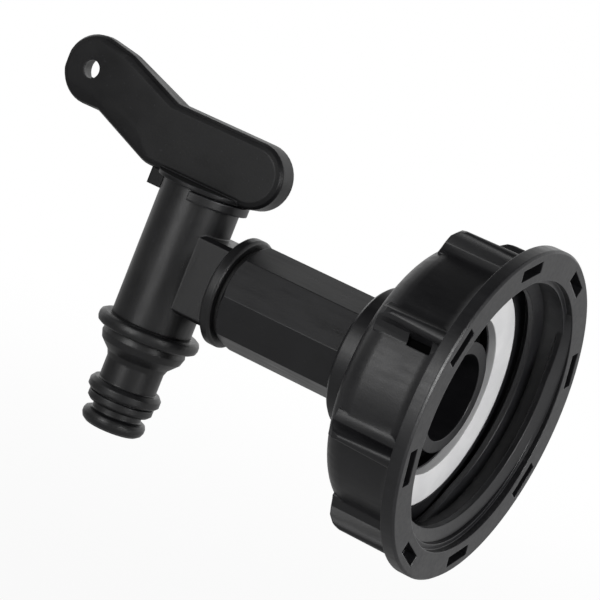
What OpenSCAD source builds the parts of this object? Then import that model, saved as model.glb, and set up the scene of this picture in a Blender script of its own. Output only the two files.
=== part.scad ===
// Tank outlet adapter with a quarter-turn plug tap.
// X runs along the pipe and leaves through the mouth of the union nut, Z runs up the tap's barrel
// towards the lever. The origin is on the pipe's axis at the inner end of the nut's thread.
// All sizes are in millimetres.

/* [Union nut] */

// Outside diameter of the nut's flange
nut_flange_d = 76; // [75.5:0.5:77.5]
// Distance from the inner end of the thread to the mouth
mouth_depth = 10; // [9.4:0.1:11]
// Wall of the nut over the root of the coarse thread
nut_wall = 1.7; // [1.5:0.1:2.2]
// Diameter of the wall at the root of the coarse thread
thread_root_d = 60.4; // [59.6:0.2:60.8]
// Diameter of the plain lead-in at the mouth
lead_in_d = 62.8; // [62:0.1:63.4]
// Distance from the inner end of the thread down to the washer's sealing face
seal_depth = 1.3; // [1.2:0.1:1.8]
// Depth of the plain lead-in
lead_in_depth = 1.5; // [1:0.1:2.4]
// Thickness of the flange's rim
flange_rim = 3.2; // [3:0.1:4]
// Radius of the sweep from the body out to the flange
flange_sweep_r = 4.4; // [3.6:0.2:4.8]
// Radius of the rounded rear edge
nut_rear_r = 6.4; // [5:0.2:6.8]
// Thickness of the rear wall that pulls on the tailpiece
nut_rear_wall = 6.2; // [5.8:0.1:7]

/* [Grip ribs] */

// Number of ribs, each with its own pocket in the flange
rib_count = 8; // [6:1:9]
// Turn of the first rib round the nut's axis
rib_turn = 19.3; // [0:0.1:44]
// Radius over the tops of the ribs
rib_top_r = 36.8; // [35.6:0.1:37.2]
// Width of a rib above the hollow sweep at its foot
rib_width = 4; // [3.4:0.1:4.8]
// How far the ribs stop short of the nut's rear face
rib_setback = 3.4; // [2.4:0.2:4.4]
// Width of a pocket along the rim
pocket_width = 8.4; // [7.2:0.2:9.4]
// Radial size of a pocket
pocket_height = 2.7; // [2:0.1:2.9]
// Radius to the middle of a pocket
pocket_r = 34.6; // [34.4:0.1:35]
// Depth of a pocket
pocket_depth = 3; // [2:0.2:3.4]

// Length of the shallow notch beside one rib
notch_length = 5.5; // [4:0.1:6]
// Width of the notch beside the rib
notch_width = 1.6; // [1:0.1:2]
// How far the notch runs back from the inner end of the thread
notch_back = 2.1; // [1:0.1:3]

/* [Tailpiece] */

// Outside diameter of the clamped flange
tail_flange_d = 52.2; // [51.6:0.2:53]
// Thickness of the clamped flange
tail_flange_t = 4.2; // [3.6:0.1:4.6]
// Diameter of the hub that turns in the nut's rear hole
hub_d = 32.6; // [32:0.2:33.2]
// Distance from the thread's inner end to the hub's rear face
hub_reach = 22.3; // [21.4:0.1:23]
// Outside diameter of the tube inside the nut
tube_od = 25.8; // [25.4:0.1:26.2]
// Bore of the tube inside the nut
tube_bore_d = 20.2; // [19.6:0.1:20.8]
// How far the tube stands out of the sealing face
tube_reach = 1.1; // [0.6:0.1:1.2]
// Width across the flats of the eight-sided sleeve
sleeve_flats = 22.6; // [22.4:0.1:23]
// Turn of the eight-sided sleeve round the pipe
sleeve_turn = 22; // [0:0.5:22.5]
// Waterway through the sleeve
sleeve_bore_d = 14.4; // [12:0.2:15.4]
// Distance from the thread's inner end to the floor of the deep groove round the tube
core_depth = 17.3; // [14:0.1:18]

/* [Washer] */

// Bore of the white washer
washer_bore_d = 37; // [36:0.2:38]
// Thickness of the white washer
washer_t = 2; // [1.6:0.1:2.4]

/* [Tap body] */

// Distance from the thread's inner end to the barrel's axis
tap_reach = 74.1; // [73.6:0.1:75]
// Outside diameter of the barrel
barrel_d = 18.8; // [18.6:0.1:19.2]
// Height of the barrel's top above the pipe's axis
barrel_top = 17.75; // [17.25:0.05:18.5]
// Depth of the barrel's foot below the pipe's axis
barrel_foot = 15; // [14.8:0.1:15.6]
// Diameter of the plug that turns in the barrel
plug_d = 14.7; // [14.4:0.1:14.8]
// Diameter of the spigot that enters the sleeve
inlet_spigot_d = 16.6; // [16.2:0.1:17]
// Length of the spigot that enters the sleeve
inlet_spigot_length = 15.3; // [13:0.1:16]
// Diameter of the round collar at the inlet
collar_d = 25.6; // [24.8:0.1:26]
// Thickness of the round collar
collar_t = 2.7; // [2.4:0.1:3]
// Distance from the barrel's axis to the face of the collar
collar_reach = 18.5; // [18:0.1:19.5]
// Width of the block between the barrel and the collar
block_width = 13.4; // [12.4:0.2:15]
// Height of the block between the barrel and the collar
block_height = 18.6; // [18:0.1:19.4]
// Diameter of the stop collar below the lever
stop_d = 22; // [21.6:0.1:22.4]
// Height of the stop collar
stop_height = 2; // [1.6:0.1:2.4]

/* [Lever] */

// Radius of the lever's hub end, over the plug
lever_end_r = 7.6; // [7.4:0.1:7.8]
// Radius of the lever's raised end
raised_end_r = 8.1; // [7.8:0.1:8.4]
// How much the flat cut takes off the raised end
raised_cut = 0.8; // [0.6:0.1:1.2]
// Distance from the barrel's axis to the centre of the raised end
lever_reach = 36.6; // [35:0.1:38]
// Height of the raised end above the hub end
lever_rise = 6.6; // [6:0.1:7.6]
// Distance from the barrel's axis to the centre of the hub end
lever_back = 11.2; // [10.2:0.1:11.8]
// Thickness of the blade over the plug
blade_thick = 7.6; // [7.2:0.1:8]
// Thickness of the blade at its raised end
blade_thin = 5; // [4.6:0.1:5.4]
// Width of the sloped edge all round the blade
blade_edge = 1.5; // [1:0.1:1.8]
// Diameter of the cord hole in the raised end
cord_hole_d = 4.2; // [3.6:0.1:5]
// Diameter of the skirt at the foot of the lever
skirt_d = 22; // [21.6:0.1:22.4]
// Thickness of the skirt
skirt_t = 1; // [0.8:0.1:1.3]
// Radius to the outside of the stop lug
lug_r = 13.3; // [13:0.1:14]
// Height of the stop lug
lug_height = 3.8; // [3.4:0.1:4.2]

/* [Outlet] */

// Diameter of the disc that meets the barrel
disc_d = 23.8; // [23.4:0.1:24.4]
// Thickness of the disc
disc_t = 3; // [2.8:0.1:3.2]
// Diameter of the drum below the disc
drum_d = 19.8; // [19.4:0.1:20.4]
// Diameter of the plain neck below the drum
neck_d = 13.5; // [13:0.1:13.8]
// Diameter of the larger hose ridge
ridge_d = 16.9; // [16.4:0.1:17.4]
// Diameter of the smaller hose ridge
small_ridge_d = 15.3; // [15:0.1:15.6]
// Diameter of the rounded lip at the outlet's end
lip_d = 14.8; // [14.4:0.1:15.2]
// Waterway through the outlet
outlet_bore_d = 8.4; // [7.4:0.1:9]
// Depth of the outlet's end below the pipe's axis
outlet_end = 40.2; // [39.8:0.1:41]

/* [Fits] */

// Radial running clearance of the plug in the barrel
running_gap = 0.08; // [0.02:0.01:0.1]
// Radial clearance of the swivelling nut round the hub
swivel_gap = 0.4; // [0.3:0.05:0.6]
// Axial play between faces that turn on each other
face_gap = 0.05; // [0.02:0.01:0.1]

/* [Hidden] */

$fn = 96;
eps = 0.01;
// nut
nut_body_d = thread_root_d + 2*nut_wall;
notch_floor_r = thread_root_d/2 + 0.9;
far = 2*nut_flange_d;
nut_shoulder = -(seal_depth + washer_t + tail_flange_t + face_gap);
nut_rear = nut_shoulder - nut_rear_wall;
cavity_r = tail_flange_d/2 + 0.5;
relief_r = thread_root_d/2 + 0.4;
hub_hole_r = hub_d/2 + swivel_gap;
// tailpiece stations along X
flange_front = -(seal_depth + washer_t);
flange_back = flange_front - tail_flange_t;
tube_end = tube_reach - seal_depth;
collar_front = -tap_reach + collar_reach;
sleeve_end = collar_front + 1.1;
seat_r = washer_bore_d/2 - 0.3;
// plug stations along Z
bore_r = plug_d/2 + running_gap;
ring_r = 0.7;
ring_floor_r = bore_r - 0.03 - 2*ring_r;
port_r = plug_d/2 - 3.35;
waterway_r = inlet_spigot_d/2 - 2.8;
seat_start = bore_r - 4.43;
seat_floor = barrel_d/2 + 0.2;
seat_outer_r = port_r + 2.2;
shoulder_z = -7.4;
ledge_t = 1.2;
journal_r = plug_d/2 - 1.45;
clip_t = 0.8;
clip_floor_r = journal_r - 0.7;
plug_foot = -10.3;
upper_ring_z = 9;
lower_ring_z = -6;
// lever stations along Z
skirt_foot = barrel_top + face_gap;
blade_foot = skirt_foot;
hub_z = blade_foot + lever_end_r;
// outlet stations along Z
chamber_r = plug_d/2 + 0.2;
tail_r = chamber_r - 0.1;
tail_top = -10.9;
tail_ring_z = -12.9;
disc_foot = -barrel_foot - disc_t;
drum_foot = disc_foot - 3.2;
cone_foot = drum_foot - 3.5;
ridge_top = -29.8;
ridge_foot = -32.7;
small_ridge_top = -33.1;
small_ridge_foot = -35.2;
lip_top = -36.8;

// Stands a shape drawn along Z on the pipe's axis, so that its height runs along X.
module along_x(x) {
    translate([x, 0, 0])
        rotate([0, 90, 0])
            children();
}

// Places a shape on the barrel's axis.
module on_barrel() {
    translate([-tap_reach, 0, 0])
        children();
}

// Ring with a square section, drawn along Z.
module ring(outer_r, inner_r, h) {
    difference() {
        cylinder(r = outer_r, h = h);
        translate([0, 0, -1])
            cylinder(r = inner_r, h = h + 2);
    }
}

// Disc with a sloped edge at both faces, drawn along Z.
module edged_disc(r, h, edge) {
    rotate_extrude()
        polygon([
            [0, 0], [r - edge, 0], [r, edge],
            [r, h - edge], [r - edge, h], [0, h]
        ]);
}

// Half section of the nut's outside: radius against distance from the mouth.
module nut_outline() {
    body_r = nut_body_d/2;
    flange_r = nut_flange_d/2;
    sweep_x = mouth_depth - flange_rim - flange_sweep_r;
    difference() {
        union() {
            translate([0, nut_rear + nut_rear_r])
                square([body_r, mouth_depth - nut_rear - nut_rear_r]);
            translate([0, nut_rear])
                square([body_r - nut_rear_r, nut_rear_r + 1]);
            translate([body_r - nut_rear_r, nut_rear + nut_rear_r])
                circle(r = nut_rear_r);
            translate([body_r - 1, sweep_x])
                square([flange_r - body_r + 1, mouth_depth - sweep_x]);
        }
        translate([body_r + flange_sweep_r, sweep_x])
            circle(r = flange_sweep_r);
        translate([body_r + flange_sweep_r, sweep_x - 1])
            square([far, flange_sweep_r + 1]);
        // broken outer corner of the flange
        translate([flange_r, mouth_depth])
            rotate([0, 0, 45])
                square([0.7, 0.7], center = true);
    }
}

// One grip rib: a hollow sweep at its foot, a rounded crown and a rounded rear end.
module grip_rib() {
    half = rib_width/2;
    rib_rear = nut_rear + rib_setback;
    rib_front = mouth_depth - flange_rim/2;
    body_r = nut_body_d/2;
    rib_base = body_r - 3;
    top = rib_top_r;
    intersection() {
        along_x(rib_rear)
            rotate([0, 0, 90])
                linear_extrude(height = rib_front - rib_rear)
                    polygon([
                        [rib_base, -half - 1.6], [body_r - 0.3, -half - 1.5], [body_r + 0.3, -half - 0.6],
                        [body_r + 1.4, -half], [top - 1.6, -0.88*half], [top - 0.7, -0.72*half],
                        [top - 0.2, -0.5*half], [top, -0.22*half], [top, 0.22*half],
                        [top - 0.2, 0.5*half], [top - 0.7, 0.72*half], [top - 1.6, 0.88*half],
                        [body_r + 1.4, half], [body_r + 0.3, half + 0.6], [body_r - 0.3, half + 1.5],
                        [rib_base, half + 1.6]
                    ]);
        translate([0, 0, -rib_width])
            linear_extrude(height = 2*rib_width)
                polygon([
                    [rib_rear, rib_base], [rib_rear, body_r + 0.4], [rib_rear + 0.15, top - 3.4],
                    [rib_rear + 0.8, top - 1.8], [rib_rear + 2.2, top - 0.5], [rib_rear + 3.9, top],
                    [rib_front, top], [rib_front, rib_base]
                ]);
    }
}

module union_nut() {
    color([0.10, 0.10, 0.11])
        difference() {
            union() {
                along_x(0)
                    rotate_extrude()
                        nut_outline();
                for (i = [0 : rib_count - 1])
                    rotate([rib_turn + i*360/rib_count, 0, 0])
                        grip_rib();
            }
            // rear hole, cavity for the tailpiece, relief behind the thread, thread wall and lead-in
            along_x(nut_rear - 1)
                cylinder(r = hub_hole_r, h = far);
            along_x(nut_shoulder)
                cylinder(r = cavity_r, h = far);
            along_x(-seal_depth - 0.1)
                cylinder(r = relief_r, h = seal_depth + 0.1);
            along_x(-eps)
                cylinder(r = thread_root_d/2, h = mouth_depth + 1);
            along_x(mouth_depth - lead_in_depth)
                cylinder(r = lead_in_d/2, h = lead_in_depth + 1);
            // pockets in the face of the flange, one in front of each rib
            for (i = [0 : rib_count - 1])
                rotate([rib_turn + i*360/rib_count, 0, 0])
                    translate([mouth_depth - pocket_depth, pocket_r - pocket_height/2, -pocket_width/2])
                        cube([pocket_depth + 1, pocket_height, pocket_width]);
            // shallow slot beside one rib
            rotate([rib_turn + 3*360/rib_count, 0, 0])
                translate([-notch_back, notch_floor_r, rib_width/2 - 0.1])
                    cube([notch_length, 2*nut_wall + 0.6, notch_width]);
        }
}

module tank_washer() {
    color([0.86, 0.86, 0.85])
        along_x(flange_front)
            ring(tail_flange_d/2, washer_bore_d/2, washer_t);
}

// One moulding: clamped flange, hub, inner tube and eight-sided sleeve.
module tailpiece() {
    hub_front_r = hub_d/2 - 2.1;
    color([0.12, 0.12, 0.13])
        difference() {
            union() {
                along_x(flange_back)
                    cylinder(r = tail_flange_d/2, h = tail_flange_t);
                along_x(-hub_reach)
                    edged_disc(hub_d/2, hub_reach + flange_back + 1.5, 0.7);
                along_x(flange_back)
                    cylinder(r = tube_od/2, h = tube_end - flange_back);
                // eight-sided sleeve with a turned end
                intersection() {
                    along_x(sleeve_end)
                        rotate([0, 0, sleeve_turn + 22.5])
                            cylinder(d = sleeve_flats/cos(22.5), h = -hub_reach - sleeve_end + 2, $fn = 8);
                    along_x(sleeve_end)
                        cylinder(r1 = sleeve_flats/2 + 0.1, r2 = sleeve_flats + 0.1, h = sleeve_flats/2);
                    along_x(sleeve_end)
                        cylinder(r = sleeve_flats, h = far);
                }
                along_x(sleeve_end + 4)
                    rotate([0, 0, sleeve_turn + 22.5])
                        cylinder(d = sleeve_flats/cos(22.5), h = -hub_reach - sleeve_end - 2, $fn = 8);
            }
            // relief in the clamped face and deep groove round the tube
            along_x(flange_front - 2)
                ring(seat_r, tube_od/2, far);
            along_x(-core_depth)
                ring(hub_front_r, tube_od/2, far);
            // waterway
            along_x(-hub_reach + 3)
                cylinder(r = tube_bore_d/2, h = far);
            along_x(-hub_reach)
                cylinder(r1 = sleeve_bore_d/2, r2 = tube_bore_d/2, h = 3 + eps);
            along_x(sleeve_end - 1)
                cylinder(r = sleeve_bore_d/2, h = far);
            // socket for the tap's spigot
            along_x(sleeve_end - 1)
                cylinder(r = inlet_spigot_d/2, h = inlet_spigot_length + 0.4);
        }
}

module sleeve_gasket() {
    color([0.05, 0.05, 0.05])
        along_x(collar_front)
            ring(sleeve_flats/2 - 0.6, inlet_spigot_d/2, sleeve_end - collar_front);
}

module tap_body() {
    block_r = 10.8;
    color([0.11, 0.11, 0.12])
        difference() {
            union() {
                on_barrel()
                    translate([0, 0, -barrel_foot])
                        cylinder(d = barrel_d, h = barrel_foot + barrel_top);
                // stop collar, open over the arc that the lug sweeps
                on_barrel()
                    translate([0, 0, barrel_top - 0.35 - stop_height])
                        rotate([0, 0, -78])
                            rotate_extrude(angle = 246)
                                translate([barrel_d/2 - 1, 0])
                                    square([stop_d/2 - barrel_d/2 + 1, stop_height]);
                // block between the barrel and the collar
                intersection() {
                    translate([-tap_reach, -block_width/2, -block_height/2])
                        cube([collar_front + tap_reach - collar_t/2, block_width, block_height]);
                    along_x(-tap_reach)
                        cylinder(r = block_r, h = far);
                }
                along_x(collar_front - collar_t)
                    edged_disc(collar_d/2, collar_t, 0.5);
                along_x(collar_front - 1)
                    cylinder(d = inlet_spigot_d, h = inlet_spigot_length + 1);
            }
            // bore for the plug, ledge and chamber for the outlet's tail
            on_barrel()
                translate([0, 0, shoulder_z])
                    cylinder(r = bore_r, h = far);
            on_barrel()
                translate([0, 0, -barrel_foot - 1])
                    cylinder(r = journal_r + running_gap, h = far);
            on_barrel()
                translate([0, 0, -barrel_foot - 1])
                    cylinder(r = chamber_r, h = barrel_foot + 1 + shoulder_z - ledge_t);
            // waterway in
            along_x(-tap_reach + seat_floor + 2.4)
                cylinder(r = waterway_r, h = far);
            along_x(-tap_reach)
                cylinder(r = port_r + 0.2, h = far);
            // seat for the port seal
            along_x(-tap_reach + seat_start)
                cylinder(r = seat_outer_r, h = seat_floor - seat_start);
        }
}

module port_seal() {
    color([0.04, 0.04, 0.04])
        difference() {
            along_x(-tap_reach + seat_start)
                ring(seat_outer_r, port_r + 0.2, seat_floor - seat_start);
            on_barrel()
                translate([0, 0, -far/2])
                    cylinder(r = bore_r, h = far);
        }
}

// Flat round pad with a two-step sloped edge, standing in the lever's plane.
module blade_pad(x, z, r, thick) {
    edge = blade_edge;
    half = thick/2;
    on_barrel()
        translate([x, 0, z])
            rotate([90, 0, 0])
                rotate_extrude($fn = 40)
                    polygon([
                        [0, -half], [r - edge, -half], [r - 0.35*edge, -half + 0.3*edge],
                        [r, -half + 0.9*edge], [r, half - 0.9*edge],
                        [r - 0.35*edge, half - 0.3*edge], [r - edge, half], [0, half]
                    ]);
}

// Blade of the lever: a level hub over the plug, and an arm that climbs and thins to its end.
module lever_blade() {
    knee_x = -lever_reach + 6.2;
    knee_z = hub_z + lever_rise - 0.5;
    knee_r = lever_end_r - 0.1;
    foot_x = -13.9;
    mid_thick = blade_thin + 0.25*(blade_thick - blade_thin);
    hull() {
        blade_pad(-lever_reach, hub_z + lever_rise, raised_end_r, blade_thin);
        blade_pad(knee_x, knee_z, knee_r, mid_thick);
    }
    hull() {
        blade_pad(knee_x, knee_z, knee_r, mid_thick);
        blade_pad(foot_x, hub_z, lever_end_r, blade_thick);
    }
    hull() {
        blade_pad(foot_x, hub_z, lever_end_r, blade_thick);
        blade_pad(lever_back, hub_z, lever_end_r, blade_thick);
    }
}

// Groove for a round seal, cut into a shaft that stands along Z.
module seal_groove(z, floor_r, outer_r) {
    translate([0, 0, z - ring_r - 0.05])
        difference() {
            cylinder(r = outer_r + 2, h = 2*ring_r + 0.1);
            translate([0, 0, -1])
                cylinder(r = floor_r, h = 2*ring_r + 3);
        }
}

// One moulding: blade, skirt, stop lug and the ported plug below them.
module lever_plug() {
    color([0.10, 0.10, 0.10])
        difference() {
            union() {
                lever_blade();
                on_barrel()
                    translate([0, 0, skirt_foot])
                        cylinder(d = skirt_d, h = skirt_t);
                // stop lug under the long side of the blade
                on_barrel()
                    translate([-lug_r, -2, skirt_foot - lug_height])
                        cube([lug_r - barrel_d/2 - 0.35, 4, lug_height + 1]);
                on_barrel()
                    translate([0, 0, shoulder_z + face_gap])
                        cylinder(d = plug_d, h = skirt_foot - shoulder_z);
                on_barrel()
                    translate([0, 0, plug_foot])
                        cylinder(r = journal_r, h = shoulder_z - plug_foot + 1);
            }
            // cord hole in the raised end
            on_barrel()
                translate([-lever_reach, far/2, hub_z + lever_rise])
                    rotate([90, 0, 0])
                        cylinder(d = cord_hole_d, h = far);
            // flat cut at the raised end
            on_barrel()
                translate([-lever_reach - raised_end_r + raised_cut - far, -far/2, hub_z + lever_rise - far/2])
                    cube([far, far, far]);
            // waterway: down the middle of the plug and out of its side
            on_barrel()
                translate([0, 0, plug_foot - 1])
                    cylinder(r = port_r, h = 1 - plug_foot);
            on_barrel()
                sphere(r = port_r);
            along_x(-tap_reach)
                cylinder(r = port_r, h = 12);
            // grooves for the seals and the clip
            on_barrel()
                seal_groove(upper_ring_z, ring_floor_r, plug_d/2);
            on_barrel()
                seal_groove(lower_ring_z, ring_floor_r, plug_d/2);
            on_barrel()
                translate([0, 0, shoulder_z - ledge_t - face_gap - clip_t])
                    ring(plug_d, clip_floor_r, clip_t);
        }
}

// Round seal lying on the barrel's axis.
module seal_ring(z, mid_r) {
    on_barrel()
        translate([0, 0, z])
            rotate_extrude()
                translate([mid_r, 0])
                    circle(r = ring_r, $fn = 32);
}

module upper_plug_seal() {
    color([0.04, 0.04, 0.04])
        seal_ring(upper_ring_z, ring_floor_r + ring_r);
}

module lower_plug_seal() {
    color([0.04, 0.04, 0.04])
        seal_ring(lower_ring_z, ring_floor_r + ring_r);
}

// Open clip that holds the plug down, snapped into its groove under the ledge.
module plug_clip() {
    color([0.75, 0.75, 0.77])
        on_barrel()
            translate([0, 0, shoulder_z - ledge_t - face_gap - clip_t])
                rotate([0, 0, 30])
                    rotate_extrude(angle = 300)
                        translate([clip_floor_r, 0])
                            square([1.8, clip_t]);
}

// Half section of the outlet piece: radius against height on the barrel's axis.
module outlet_outline() {
    bore = outlet_bore_d/2;
    disc_r = disc_d/2;
    drum_r = drum_d/2;
    neck_r = neck_d/2;
    ridge_r = ridge_d/2;
    small_r = small_ridge_d/2;
    lip_r = lip_d/2;
    groove_r = chamber_r - 2*ring_r;
    groove_half = ring_r + 0.05;
    polygon([
        // tail inside the barrel, with its seal groove
        [bore, tail_top], [tail_r - 0.4, tail_top], [tail_r, tail_top - 0.4],
        [tail_r, tail_ring_z + groove_half], [groove_r, tail_ring_z + groove_half],
        [groove_r, tail_ring_z - groove_half], [tail_r, tail_ring_z - groove_half], [tail_r, -barrel_foot],
        // disc with a rounded edge
        [disc_r - 0.9, -barrel_foot], [disc_r - 0.25, -barrel_foot - 0.4], [disc_r, -barrel_foot - 1.1],
        [disc_r, disc_foot + 1.1], [disc_r - 0.25, disc_foot + 0.4], [disc_r - 0.9, disc_foot],
        // drum, and the hollow sweep down to the plain neck
        [drum_r - 0.4, disc_foot], [drum_r, disc_foot - 1.6], [drum_r - 0.5, drum_foot],
        [neck_r + 1.6, drum_foot - 1.1], [neck_r + 0.5, drum_foot - 2.2], [neck_r, cone_foot],
        // two hose ridges
        [neck_r, ridge_top], [ridge_r - 0.7, ridge_top], [ridge_r, ridge_top - 0.9],
        [ridge_r, ridge_foot + 0.6], [ridge_r - 0.6, ridge_foot], [small_r - 0.8, ridge_foot],
        [small_r - 0.8, small_ridge_top], [small_r, small_ridge_top], [small_r, small_ridge_foot + 0.7],
        [small_r - 0.7, small_ridge_foot],
        // waist and rounded lip
        [neck_r - 1, small_ridge_foot], [neck_r - 1, lip_top], [lip_r - 1.1, lip_top],
        [lip_r - 0.3, lip_top - 0.4], [lip_r, lip_top - 1.1], [lip_r, lip_top - 1.9],
        [lip_r - 0.4, -outlet_end + 0.6], [lip_r - 1.2, -outlet_end], [bore, -outlet_end]
    ]);
}

module outlet_spigot() {
    color([0.12, 0.12, 0.12])
        on_barrel()
            rotate_extrude()
                outlet_outline();
}

module outlet_seal() {
    color([0.04, 0.04, 0.04])
        seal_ring(tail_ring_z, chamber_r - ring_r);
}

union_nut();
tank_washer();
tailpiece();
sleeve_gasket();
tap_body();
port_seal();
lever_plug();
upper_plug_seal();
lower_plug_seal();
plug_clip();
outlet_spigot();
outlet_seal();
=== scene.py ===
# %% [markdown]
# # A tank tap adapter in black moulded plastic
# The real object screws onto the outlet of a bulk tank. A large union nut with grip ribs pulls a
# white washer onto the tank's valve, and behind it an eight-sided sleeve carries a small plug tap
# with a lever on top and a hose outlet below. The solids come from CAD and are loaded as a fixed
# frame: this lesson never moves them. It gives them edges that catch the light, a coarse thread,
# believable plastics, a studio and a camera. Everything is in metres, in the CAD's own frame:
# X runs out of the nut's mouth and Z runs up the tap towards the lever.

# %% Load the frame
import bpy, bmesh
from math import atan2, cos, degrees, pi, radians, sin
from mathutils import Matrix, Vector


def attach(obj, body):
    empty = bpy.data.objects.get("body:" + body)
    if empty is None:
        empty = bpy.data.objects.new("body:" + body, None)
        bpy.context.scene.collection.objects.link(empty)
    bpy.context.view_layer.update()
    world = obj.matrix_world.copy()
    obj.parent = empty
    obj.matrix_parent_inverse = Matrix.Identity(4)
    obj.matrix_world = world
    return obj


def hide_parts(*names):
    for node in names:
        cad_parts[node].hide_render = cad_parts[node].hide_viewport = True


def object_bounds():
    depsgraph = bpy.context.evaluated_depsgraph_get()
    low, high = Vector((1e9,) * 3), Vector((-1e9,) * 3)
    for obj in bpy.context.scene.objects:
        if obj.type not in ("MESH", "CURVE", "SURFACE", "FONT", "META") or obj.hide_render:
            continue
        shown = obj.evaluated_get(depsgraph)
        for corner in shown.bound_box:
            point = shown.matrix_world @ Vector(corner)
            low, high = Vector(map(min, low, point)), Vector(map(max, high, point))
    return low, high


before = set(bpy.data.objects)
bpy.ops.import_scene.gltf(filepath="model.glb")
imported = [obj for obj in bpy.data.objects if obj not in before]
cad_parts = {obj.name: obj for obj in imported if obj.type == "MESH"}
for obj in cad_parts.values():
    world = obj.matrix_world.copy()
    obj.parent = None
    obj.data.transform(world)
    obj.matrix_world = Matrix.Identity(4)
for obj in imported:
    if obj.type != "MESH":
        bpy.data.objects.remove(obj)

MM = 0.001
cad_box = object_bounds()
print("solids loaded:", len(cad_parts), "box in mm:",
      [[round(v / MM, 1) for v in corner] for corner in cad_box])

# %% [markdown]
# ## Shader maths that reads like maths
# A plastic that looks real changes a little from place to place. In Blender such changes are made
# by joining nodes, and a page of joined nodes is hard to read. The small class below wraps one
# output of one node. Adding or multiplying two of them adds the Math node, so a pattern can be
# written as a plain expression. Colours don't go through Math nodes, because those turn them grey.

# %% A class for node outputs
class Wire:
    """One output of a shader node; arithmetic on it adds Math nodes."""

    def __init__(self, tree, socket=None):
        self.tree, self.socket = tree, socket

    def node(self, kind, settings=None, inputs=None, out=0):
        """Any node: its settings first, then the values or links of its sockets."""
        made = self.tree.nodes.new(kind)
        for name, value in (settings or {}).items():
            setattr(made, name, value)
        for key, value in (inputs or {}).items():
            if isinstance(value, Wire):
                self.tree.links.new(value.socket, made.inputs[key])
            else:
                made.inputs[key].default_value = value
        return Wire(self.tree, made.outputs[out] if len(made.outputs) else None)

    def maths(self, operation, *terms):
        return self.node("ShaderNodeMath", {"operation": operation}, dict(enumerate(terms)))

    def __add__(self, other):
        return self.maths("ADD", self, other)

    def __sub__(self, other):
        return self.maths("SUBTRACT", self, other)

    def __rsub__(self, other):
        return self.maths("SUBTRACT", other, self)

    def __mul__(self, other):
        return self.maths("MULTIPLY", self, other)

    __radd__, __rmul__ = __add__, __mul__

    def larger(self, other):
        return self.maths("MAXIMUM", self, other)

    def between(self, low, high):
        """0 below low, 1 above high, and a smooth step from one to the other."""
        return self.node("ShaderNodeMapRange", {"interpolation_type": "SMOOTHSTEP"},
                         {"Value": self, "From Min": low, "From Max": high})


# %% [markdown]
# ## Patterns that stay on the piece
# Grain, cloudy patches and streaks are all noise of one size or another. Each is laid out on Object
# coordinates, which are the CAD's own metres, so a grain of 0.4 mm is written as 0.4 mm and a
# pattern turns with its piece. Relief goes through one Bump node, whose height is in metres too.

# %% Materials, noise and colours
def new_material(name):
    material = bpy.data.materials.new(name)
    material.use_nodes = True
    material.node_tree.nodes.clear()
    return material, Wire(material.node_tree)


def noise(wire, grain, detail, stretch=(1, 1, 1), shift=(0, 0, 0)):
    """Noise whose lumps are about one grain across, in metres; stretch draws them out."""
    place = wire.node("ShaderNodeTexCoord", out="Object")
    place = wire.node("ShaderNodeMapping", {"vector_type": "POINT"},
                      {"Vector": place, "Location": shift, "Scale": tuple(1 / s for s in stretch)})
    return wire.node("ShaderNodeTexNoise", {},
                     {"Vector": place, "Scale": 1 / grain, "Detail": detail}, out="Fac")


def blend_colour(wire, amount, low, high):
    """Socket 0 of the Mix node is its factor, 6 and 7 are its colours, and 2 gives the result."""
    return wire.node("ShaderNodeMix", {"data_type": "RGBA"},
                     {0: amount, 6: low, 7: high}, out=2)


# %% Relief and the surface itself
def raised(wire, height, **over):
    """A normal bent by a height in metres, over the plain one or over Normal=..."""
    return wire.node("ShaderNodeBump", {},
                     {"Strength": 1.0, "Distance": 1.0, "Height": height, **over}, out="Normal")


def shell(wire, painted_shade=None, **sockets):
    """The surface shader and the material's output; a mask of painted shade turns it to a dead
    black.
    """
    names = {name.replace("_", " "): value for name, value in sockets.items()}
    surface = wire.node("ShaderNodeBsdfPrincipled", {}, names)
    if painted_shade:
        # painted shade: a near-black diffuse stands in for the shade in a deep hollow
        painted_shade_black = wire.node("ShaderNodeBsdfDiffuse", {}, {"Color": (0.003, 0.003, 0.003, 1)})
        surface = wire.node("ShaderNodeMixShader", {}, {0: painted_shade, 1: surface, 2: painted_shade_black})
    wire.node("ShaderNodeOutputMaterial", {}, {"Surface": surface})


# %% [markdown]
# ## Rounded edges without cutting them
# No moulded edge is a mathematical corner: the cutter that made the mould leaves a small radius, and
# that radius is what draws the thin bright lines round the collar, the skirt and the ribs. A Bevel
# modifier could cut it, but on a dense CAD mesh it stops at the first short edge. The Bevel node
# bends the normal instead, which is all that the eye sees of half a millimetre. How far it bends
# also tells where an edge is, and so where handling has rubbed the plastic.

# %% A leaning normal and an edge mask
edge_lean = (0.01, 0.16)  # 1 less the cosine of the lean, so from 8 to 33 degrees


def rounded_edges(wire, radius):
    """A normal that leans over near an edge, and a mask that is 1 there and 0 on open faces."""
    leaning = wire.node("ShaderNodeBevel", {"samples": 8}, {"Radius": radius}, out="Normal")
    plain = wire.node("ShaderNodeNewGeometry", out="Normal")
    together = wire.node("ShaderNodeVectorMath", {"operation": "DOT_PRODUCT"},
                         {0: leaning, 1: plain}, out="Value")
    return leaning, (1 - together).between(*edge_lean)


# %% [markdown]
# ## Painted shade in two hollows
# Two places on the real part look quite black: the deep groove behind the washer, between the inner
# tube and the flange, and the shallow notch beside one grip rib. Light does get lost there, but the
# studio's pale floor would still shine into a smooth black wall, so the shade is painted: a mask
# finds each of them by its distance along the pipe and from the pipe's axis, and turns the plastic
# to a dead black. The first mask has a fault: it also paints this shade on the outside of the hub
# close behind the nut, at 16.3 mm, which the camera doesn't see but a view from above or behind
# does.

# %% A mask for a ring round the pipe
def band(value, low, high, soft=0.15 * MM):
    return value.between(low - soft, low + soft) * (1 - value.between(high - soft, high + soft))


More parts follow.
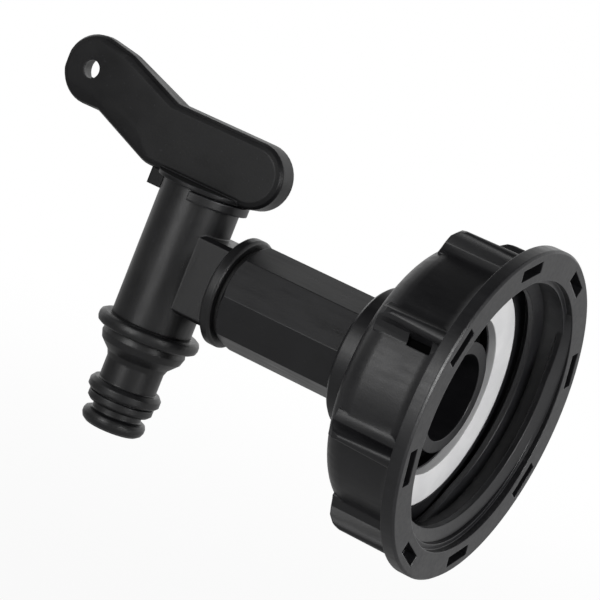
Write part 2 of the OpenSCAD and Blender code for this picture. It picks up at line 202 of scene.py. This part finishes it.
def ring_band(wire, along, radii):
    """1 in a band of distance along the pipe and a band of radius round it, 0 elsewhere."""
    place = wire.node("ShaderNodeTexCoord", out="Object")
    x = wire.node("ShaderNodeSeparateXYZ", {}, {0: place}, out="X")
    across = wire.node("ShaderNodeVectorMath", {"operation": "MULTIPLY"}, {0: place, 1: (0, 1, 1)})
    radius = wire.node("ShaderNodeVectorMath", {"operation": "LENGTH"}, {0: across}, out="Value")
    return band(x, *along) * band(radius, *radii)


# where shade is painted: the groove behind the washer and the notch beside one rib
washer_seat_shade = {"along": (-18 * MM, -3.4 * MM), "radii": (13.6 * MM, 18.9 * MM)}
nut_notch_shade = {"along": (-2.2 * MM, 3.6 * MM), "radii": (30.9 * MM, 31.7 * MM)}

# %% [markdown]
# ## Black moulded plastic
# The nut, the tailpiece, the tap and the lever are polypropylene or nylon, coloured right through
# with carbon black. Seen close, such a moulding isn't one black: its skin has a very fine grain from
# the eroded steel of the mould, faint cloudy patches where the plastic cooled at different speeds,
# streaks along the way it flowed, and edges that handling has rubbed a little paler and smoother.
# One recipe makes all four, with its own grain and gloss for each piece, so that they look like
# one set and still differ a little, as parts from different moulds do.

# %% The recipe for a moulded plastic
def moulded_plastic(name, shade, worn, gloss, grain, depth, flow, level=0.5, painted_shade=None,
                    corner=0.35 * MM):
    """shade and worn are greys, flow is how far the streaks are drawn out along X, Y and Z."""
    material, wire = new_material(name)
    # four patterns: patches of cooling, streaks of flow, the mould's grain and rare rubbed specks
    clouds = noise(wire, 9 * MM, 3.0)
    streaks = noise(wire, 1.1 * MM, 3.0, stretch=flow, shift=(0.31, 0.12, 0.57))
    skin = noise(wire, grain, 2.0, shift=(0.07, 0.43, 0.21))
    specks = noise(wire, 0.8 * MM, 2.0, shift=(0.9, 0.2, 0.4)).between(0.68, 0.76)
    # the shade drifts by a fifth either way, and rubbed edges and specks go over to the worn grey
    leaning, edges = rounded_edges(wire, corner)
    rubbed = edges * (0.35 + 0.65 * clouds) + specks * 0.4
    darker, paler = (tuple(v * share for v in shade) for share in (0.82, 1.2))
    tone = blend_colour(wire, clouds.between(0.3, 0.7) * 0.6 + streaks * 0.4,
                        (*darker, 1), (*paler, 1))
    tone = blend_colour(wire, rubbed, tone, (*worn, 1))
    # each pattern is about a half on average, so the roughness stays round the gloss value
    rough = gloss + 0.22 * (clouds - 0.5) + 0.24 * (streaks - 0.5) + 0.08 * (skin - 0.5)
    relief = skin * depth + streaks * (depth * 0.6)
    # painted shade: where a mask is given, the plastic there turns dead black
    shell(wire, ring_band(wire, **painted_shade) if painted_shade else None, Base_Color=tone,
          Roughness=rough - 0.07 * edges, Normal=raised(wire, relief, Normal=leaning),
          Specular_IOR_Level=level)
    return material


# %% Four plastics from one recipe
nut_plastic = moulded_plastic(
    "nut_plastic_black", shade=(0.0092, 0.0092, 0.0104), worn=(0.030, 0.030, 0.033), gloss=0.38,
    grain=0.42 * MM, depth=0.014 * MM, flow=(6, 1, 1), painted_shade=nut_notch_shade)
tail_plastic = moulded_plastic(
    "tail_plastic_black", shade=(0.0088, 0.0088, 0.0100), worn=(0.030, 0.030, 0.033), gloss=0.35,
    grain=0.34 * MM, depth=0.012 * MM, flow=(9, 1, 1), painted_shade=washer_seat_shade)
tap_plastic = moulded_plastic(
    "tap_plastic_black", shade=(0.0080, 0.0080, 0.0087), worn=(0.028, 0.028, 0.031), gloss=0.38,
    grain=0.34 * MM, depth=0.012 * MM, flow=(1, 1, 8), corner=0.55 * MM)
lever_plastic = moulded_plastic(
    "lever_plastic_black", shade=(0.0072, 0.0072, 0.0078), worn=(0.032, 0.032, 0.035), gloss=0.40,
    grain=0.40 * MM, depth=0.014 * MM, flow=(7, 1, 3), level=0.28, corner=0.5 * MM)
print("plastics:", [m.name for m in (nut_plastic, tail_plastic, tap_plastic, lever_plastic)])

# %% [markdown]
# ## Washer, rubber and spring steel
# The washer is a soft white sheet, cut to a ring: it is matt, not quite even in colour, and a little
# greyer towards its cut edges where it picks up dirt from the black plastic. The hidden seals are
# black rubber with a talcum bloom, and the clip under the plug is spring steel with fine drawn
# lines. Each is a few noises again, so they share the helpers above and differ in size and tone.

# %% White washer
def washer_sheet():
    material, wire = new_material("washer_white_sheet")
    clouds = noise(wire, 7 * MM, 3.0)
    fibres = noise(wire, 0.5 * MM, 3.0, stretch=(1, 2, 1))
    leaning, edges = rounded_edges(wire, 0.4 * MM)
    tone = blend_colour(wire, clouds.between(0.25, 0.75),
                        (0.68, 0.68, 0.69, 1), (0.76, 0.76, 0.765, 1))
    tone = blend_colour(wire, 0.35 * edges + 0.12 * fibres, tone, (0.46, 0.46, 0.45, 1))
    relief = fibres * (0.02 * MM) + clouds * (0.08 * MM)
    shell(wire, Base_Color=tone, Roughness=0.52 + 0.16 * fibres,
          Normal=raised(wire, relief, Normal=leaning))
    return material


# %% Black rubber and spring steel
def seal_rubber():
    material, wire = new_material("seal_rubber_black")
    bloom = noise(wire, 1.6 * MM, 4.0)
    skin = noise(wire, 0.25 * MM, 2.0)
    tone = blend_colour(wire, bloom.between(0.45, 0.75) * 0.5,
                        (0.012, 0.012, 0.012, 1), (0.04, 0.04, 0.042, 1))
    shell(wire, Base_Color=tone, Roughness=0.55 + 0.2 * bloom,
          Normal=raised(wire, skin * (0.008 * MM)))
    return material


def spring_steel():
    material, wire = new_material("clip_spring_steel")
    lines = noise(wire, 0.12 * MM, 2.0, stretch=(1, 14, 1))
    tone = blend_colour(wire, lines, (0.50, 0.50, 0.52, 1), (0.68, 0.68, 0.69, 1))
    shell(wire, Base_Color=tone, Metallic=1.0, Roughness=0.22 + 0.16 * lines,
          Normal=raised(wire, lines * (0.003 * MM)))
    return material


washer_white, seal_black, clip_steel = washer_sheet(), seal_rubber(), spring_steel()
print("finishes:", [m.name for m in (washer_white, seal_black, clip_steel)])

# %% [markdown]
# ## Smooth copies of the visible solids
# A CAD solid is loose triangles, so Blender can't tell a round barrel from a many-sided one. Each
# visible solid is copied and its doubled corners are merged: then round faces shade smoothly, and
# edges steeper than a set angle stay crisp. The normals that came with the file are dropped, and
# the Weighted Normal modifier keeps large flat faces flat beside small curved ones. The copy stands
# for the solid, which stays hidden underneath for the motion checks.

# %% Copy a solid for smooth shading
def smooth_copy(node, body, material, crisp=30, reshape=None):
    """crisp is the angle in degrees from which an edge stays sharp."""
    copy = bmesh.new()
    copy.from_mesh(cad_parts[node].data)
    bmesh.ops.remove_doubles(copy, verts=copy.verts, dist=0.002 * MM)
    if reshape:
        reshape(copy)
    copy.normal_update()
    for edge in copy.edges:
        edge.smooth = edge.calc_face_angle(0) < radians(crisp)
    for face in copy.faces:
        face.smooth = True
    mesh = bpy.data.meshes.new(node + "_moulded")
    copy.to_mesh(mesh)
    copy.free()
    if mesh.has_custom_normals:
        mesh.attributes.remove(mesh.attributes["custom_normal"])
    piece = bpy.data.objects.new(node + "_moulded", mesh)
    bpy.context.scene.collection.objects.link(piece)
    flat = piece.modifiers.new("flat faces stay flat", "WEIGHTED_NORMAL")
    flat.mode, flat.weight, flat.keep_sharp = "FACE_AREA", 80, True
    mesh.materials.append(material)
    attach(piece, body)
    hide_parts(node)
    print(node, "faces after merging:", len(mesh.polygons))


# %% [markdown]
# ## Rod-like grip ribs
# Seen close, each grip rib is a half-round rod on a wider, hollow foot. The solid keeps a broader
# crown, which is kinder to its meshing. Rather than model the ribs again, the corners of a crown
# slide towards the rib's middle, each round the pipe's axis at its own radius, and the foot stays.

# %% Draw the crowns in
ribs = {"count": 8, "first": radians(19.3), "crown_from": 32.1 * MM, "crown_to": 34.2 * MM,
        "reach_aside": 2.7 * MM, "flange_from": 6 * MM, "keep": 0.60}


def round_crowns(copy):
    step, moved = 2 * pi / ribs["count"], 0
    for vert in copy.verts:
        reach, turn = Vector(vert.co.yz).length, atan2(vert.co.z, vert.co.y)
        rib = round((turn - ribs["first"]) / step)
        lean = turn - ribs["first"] - rib * step
        if (reach < ribs["crown_from"] or vert.co.x > ribs["flange_from"]
                or abs(reach * sin(lean)) > ribs["reach_aside"]):
            continue
        height = min(1, (reach - ribs["crown_from"]) / (ribs["crown_to"] - ribs["crown_from"]))
        turn -= lean * (1 - ribs["keep"]) * height
        vert.co.yz, moved = (reach * cos(turn), reach * sin(turn)), moved + 1
    print("corners of the rib crowns drawn in:", moved)


# %% [markdown]
# ## A flared cord hole
# The lever is a thin plate with ribs, so light comes through its cord hole even from the side. The
# solid is thicker there, so the hole's far rim is opened out, as a countersink would do it.

# %% Open the far rim of the cord hole
cord_hole = {"x": -110.7 * MM, "z": 32.0 * MM, "within": 2.3 * MM, "flare": 1.6}


def flare_cord_hole(copy):
    moved = 0
    for vert in copy.verts:
        aside, above = vert.co.x - cord_hole["x"], vert.co.z - cord_hole["z"]
        if vert.co.y > 0 and Vector((aside, above)).length < cord_hole["within"]:
            vert.co.x = cord_hole["x"] + aside * cord_hole["flare"]
            vert.co.z = cord_hole["z"] + above * cord_hole["flare"]
            moved += 1
    print("corners of the cord hole's rim moved out:", moved)


# %% [markdown]
# ## Six mouldings to look at
# Six of the twelve solids can be seen. The nut, the tap, the lever and the outlet have gentle slopes
# that meet at small angles, so their edges stay crisp from a smaller angle than on the tailpiece.
# The other six are hidden inside the tap or in its joints. They keep their solids, and only get a
# finish in place of the plain material they were loaded with.

# %% The visible mouldings
smooth_copy("union_nut", "nut", nut_plastic, crisp=24, reshape=round_crowns)
smooth_copy("tailpiece", "tap", tail_plastic)
smooth_copy("tap_body", "tap", tap_plastic, crisp=20)
smooth_copy("lever_plug", "lever", lever_plastic, crisp=20,
            reshape=flare_cord_hole)
smooth_copy("outlet_spigot", "tap", tap_plastic, crisp=20)
smooth_copy("tank_washer", "tap", washer_white)

# %% Finishes for the hidden solids
hidden = {"sleeve_gasket": seal_black, "port_seal": seal_black, "upper_plug_seal": seal_black,
          "lower_plug_seal": seal_black, "outlet_seal": seal_black, "plug_clip": clip_steel}
for node, material in hidden.items():
    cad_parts[node].material_slots[0].material = material
print("hidden solids finished:", len(hidden))

# %% [markdown]
# ## The coarse thread
# The nut's thread is a single ridge that winds about one and a third times round the inside of the
# mouth, 6 mm further out with each turn, so that a few seconds of turning pull the washer tight. The
# solids keep a plain wall at its root. The ridge could be a swept curve, but a spin is more exact:
# its section, a trapezium with a flat crest, is drawn once and spun about the pipe's axis with a
# small step outwards each time. Both ends then sink into the wall, as they do in a real mould.

# %% Spin the ridge
thread = {"pitch": 6 * MM, "crest": 27.5 * MM, "wall": 31.5 * MM, "crest_half": 0.65 * MM,
          "foot_half": 2.13 * MM, "first_turn": radians(-444), "last_turn": radians(50),
          "crest_x": 7.2 * MM, "crest_turn": radians(12), "step_degrees": 3}


def thread_x(turn):
    """Where the crest's middle is along the pipe at a turn about its axis."""
    return thread["crest_x"] + thread["pitch"] * (turn - thread["crest_turn"]) / (2 * pi)


ridge = bmesh.new()
begin = thread_x(thread["first_turn"])
section = [ridge.verts.new((begin + along, radius, 0)) for along, radius in (
    (-thread["foot_half"], thread["wall"]), (-thread["crest_half"], thread["crest"]),
    (thread["crest_half"], thread["crest"]), (thread["foot_half"], thread["wall"]))]
outline = [ridge.edges.new((section[i], section[(i + 1) % 4])) for i in range(4)]
bmesh.ops.rotate(ridge, verts=section, cent=(0, 0, 0),
                 matrix=Matrix.Rotation(thread["first_turn"], 3, "X"))
sweep = thread["last_turn"] - thread["first_turn"]
steps = round(degrees(sweep) / thread["step_degrees"])
bmesh.ops.spin(ridge, geom=section + outline, cent=(0, 0, 0), axis=(1, 0, 0), angle=sweep,
               dvec=(thread["pitch"] * sweep / (2 * pi) / steps, 0, 0), steps=steps)
bmesh.ops.holes_fill(ridge, edges=ridge.edges, sides=4)
print("thread steps:", steps, "faces:", len(ridge.faces))

# %% Sink both ends into the wall
run_out, least_height = radians(34), 0.04
for vert in ridge.verts:
    radius = Vector(vert.co.yz).length
    plain_turn = atan2(vert.co.z, vert.co.y)
    turn = min((plain_turn + 2 * pi * k for k in (-2, -1, 0, 1)),
               key=lambda t: abs(thread_x(t) - vert.co.x))
    left = min(turn - thread["first_turn"], thread["last_turn"] - turn) / run_out
    if left < 1:
        kept = least_height + (1 - least_height) * max(0.0, left)
        sunk = thread["wall"] - (thread["wall"] - radius) * kept
        vert.co.yz = Vector(vert.co.yz) * (sunk / radius)
bmesh.ops.remove_doubles(ridge, verts=ridge.verts, dist=0.002 * MM)
bmesh.ops.recalc_face_normals(ridge, faces=ridge.faces)

# %% Put the thread in the nut
thread_mesh = bpy.data.meshes.new("thread_ridge")
ridge.to_mesh(thread_mesh)
ridge.free()
thread_mesh.shade_smooth()
thread_mesh.materials.append(nut_plastic)
thread_ridge = bpy.data.objects.new("thread_ridge", thread_mesh)
bpy.context.scene.collection.objects.link(thread_ridge)
rounding = thread_ridge.modifiers.new("rounded crest", "BEVEL")
rounding.width, rounding.segments, rounding.profile = 0.3 * MM, 2, 0.5
rounding.limit_method, rounding.angle_limit = "ANGLE", radians(25)
rounding.harden_normals = True
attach(thread_ridge, "nut")
print("thread from x", round(thread_x(thread["first_turn"]) / MM, 1), "to",
      round(thread_x(thread["last_turn"]) / MM, 1), "mm")

# %% [markdown]
# ## A pale floor
# Small products are photographed over white paper. The part hangs from its nut thread, as it does on
# a tank, so the paper lies well below it and only a faint shadow reaches it. The paper could be lit
# until it is white, but that light would wash out the black plastic. Instead the camera sees most of
# it as a plain white glow, and so, at half strength, does the plastic where it mirrors the paper
# behind it. The rest is a diffuse sheet that keeps the shadow, and its share fades with distance.

# %% Floor
floor_z, floor_reach = cad_box[0].z - 0.11, 12.0
floor_mesh = bpy.data.meshes.new("paper_floor")
paper = bmesh.new()
bmesh.ops.create_grid(paper, x_segments=2, y_segments=2, size=floor_reach)
bmesh.ops.translate(paper, verts=paper.verts, vec=(0, 0, floor_z))
paper.to_mesh(floor_mesh)
paper.free()
floor = bpy.data.objects.new("paper_floor", floor_mesh)
bpy.context.scene.collection.objects.link(floor)
print("floor at", round(floor_z / MM), "mm")


# %% White paper
def rays(wire, kind):
    """1 for rays of one kind, 0 for others."""
    return wire.node("ShaderNodeLightPath", out=f"Is {kind} Ray")


paper_white, wire = new_material("white_paper")
fibre = noise(wire, 4 * MM, 3.0)
sheet = wire.node("ShaderNodeBsdfDiffuse", {}, {
    "Color": blend_colour(wire, fibre, (0.60, 0.60, 0.60, 1), (0.64, 0.64, 0.64, 1))})
glow = wire.node("ShaderNodeEmission", {}, {"Color": (1, 1, 1, 1), "Strength": 1.0})
here = wire.node("ShaderNodeTexCoord", out="Object")
away = wire.node("ShaderNodeVectorMath", {"operation": "LENGTH"}, {0: here}, out="Value")
behind = wire.node("ShaderNodeSeparateXYZ", {}, {0: here}, out="Y").between(-0.1, 0.5)
glow_share = {"near": 0.93, "far": 1.0, "mirrored": 0.5}
seen = rays(wire, "Camera").larger(rays(wire, "Transmission"))
seen_glow = seen * (glow_share["near"]
                    + (glow_share["far"] - glow_share["near"]) * away.between(0.25, 0.9))
mirrored_glow = rays(wire, "Glossy") * behind * glow_share["mirrored"]
surface = wire.node("ShaderNodeMixShader", {}, {
    0: seen_glow.larger(mirrored_glow), 1: sheet, 2: glow})
wire.node("ShaderNodeOutputMaterial", {}, {"Surface": surface})
floor_mesh.materials.append(paper_white)

# %% [markdown]
# ## A white room with a dim ceiling
# The room is white to the camera. Black plastic shows mostly what it mirrors, so for mirrored rays
# only the backdrop behind the part is white, and the rest is dimmer the higher it is: it is that
# dim ceiling which makes the top of the nut nearly black, as in a studio with its lights low.

# %% Room
world = bpy.data.worlds.new("white_room")
bpy.context.scene.world = world
world.use_nodes = True
world.node_tree.nodes.clear()
wire = Wire(world.node_tree)
heading = wire.node("ShaderNodeTexCoord", out="Generated")
forward = wire.node("ShaderNodeSeparateXYZ", {}, {0: heading}, out="Y")
upward = wire.node("ShaderNodeSeparateXYZ", {}, {0: heading}, out="Z")
room = {"walls": 0.40, "ceiling": 0.06, "backdrop": 0.20}
backdrop = forward.between(-0.35, 0.55) * (1 - upward.between(0.35, 0.98))
overhead = upward.between(0.35, 0.85)
white = rays(wire, "Camera").larger(rays(wire, "Transmission")).larger(
    rays(wire, "Glossy") * backdrop)
dim = (room["walls"] - (room["walls"] - room["ceiling"]) * overhead
       + room["backdrop"] * backdrop)
light = wire.node("ShaderNodeBackground", {}, {
    "Color": (1, 1, 1, 1), "Strength": white + (1 - white) * dim})
wire.node("ShaderNodeOutputWorld", {}, {"Surface": light})
print("room nodes:", len(world.node_tree.nodes))

# %% [markdown]
# ## Soft lamps
# The bright band down the barrel and across the ribs is one soft box, standing low in front of the
# tap. A second one to the right reaches into the nut's mouth and lights the white washer. Their
# power is set so that a colour comes out about as it is written.

# %% Lamps
middle = (cad_box[0] + cad_box[1]) / 2


def soft_box(name, azimuth, elevation, distance, width, height, watts):
    """A rectangle of light that faces the part's middle; angles in degrees, sizes in metres."""
    lamp = bpy.data.lights.new(name, "AREA")
    lamp.shape, lamp.size, lamp.size_y, lamp.energy = "RECTANGLE", width, height, watts
    box = bpy.data.objects.new(name, lamp)
    bpy.context.scene.collection.objects.link(box)
    a, e = radians(azimuth), radians(elevation)
    away = Vector((sin(a) * cos(e), -cos(a) * cos(e), sin(e)))
    box.matrix_world = (Matrix.Translation(middle + distance * away)
                        @ away.to_track_quat("Z", "Y").to_matrix().to_4x4())
    print(name, "radiance", round(watts / (pi * width * height), 2))


soft_box("front_box", azimuth=-10, elevation=10, distance=0.90, width=0.34, height=0.56, watts=2.8)
soft_box("mouth_box", azimuth=73, elevation=10, distance=1.00, width=0.40, height=0.40, watts=6.3)

# %% [markdown]
# ## The camera
# The camera was fitted to the photograph: a long lens from the front right, a little above the pipe
# and rolled by some 22 degrees, so that the tap leans to the left and the nut's mouth opens
# towards the lower right. Its axes are worked out from three angles and put in the matrix directly.

# %% Camera
camera = {"lens": 176.497, "azimuth": 25.3706, "elevation": 8.0995, "roll": 21.8863,
          "place": (0.229883, -0.573808, 0.095027)}
a, e, roll = (radians(camera[k]) for k in ("azimuth", "elevation", "roll"))
back = Vector((sin(a) * cos(e), -cos(a) * cos(e), sin(e)))
right = Vector((cos(a), sin(a), 0))
up = back.cross(right)
right, up = cos(roll) * right + sin(roll) * up, cos(roll) * up - sin(roll) * right
lens = bpy.data.cameras.new("photo_camera")
lens.lens, lens.sensor_width, lens.clip_start, lens.clip_end = camera["lens"], 36, 0.01, 20
eye = bpy.data.objects.new("photo_camera", lens)
bpy.context.scene.collection.objects.link(eye)
turned = Matrix((right, up, back)).transposed().to_4x4()
eye.matrix_world = Matrix.Translation(Vector(camera["place"])) @ turned
bpy.context.scene.camera = eye
bpy.context.scene.view_settings.view_transform = "Standard"
print("camera to the part's middle:", round((eye.matrix_world.translation - middle).length, 3), "m")
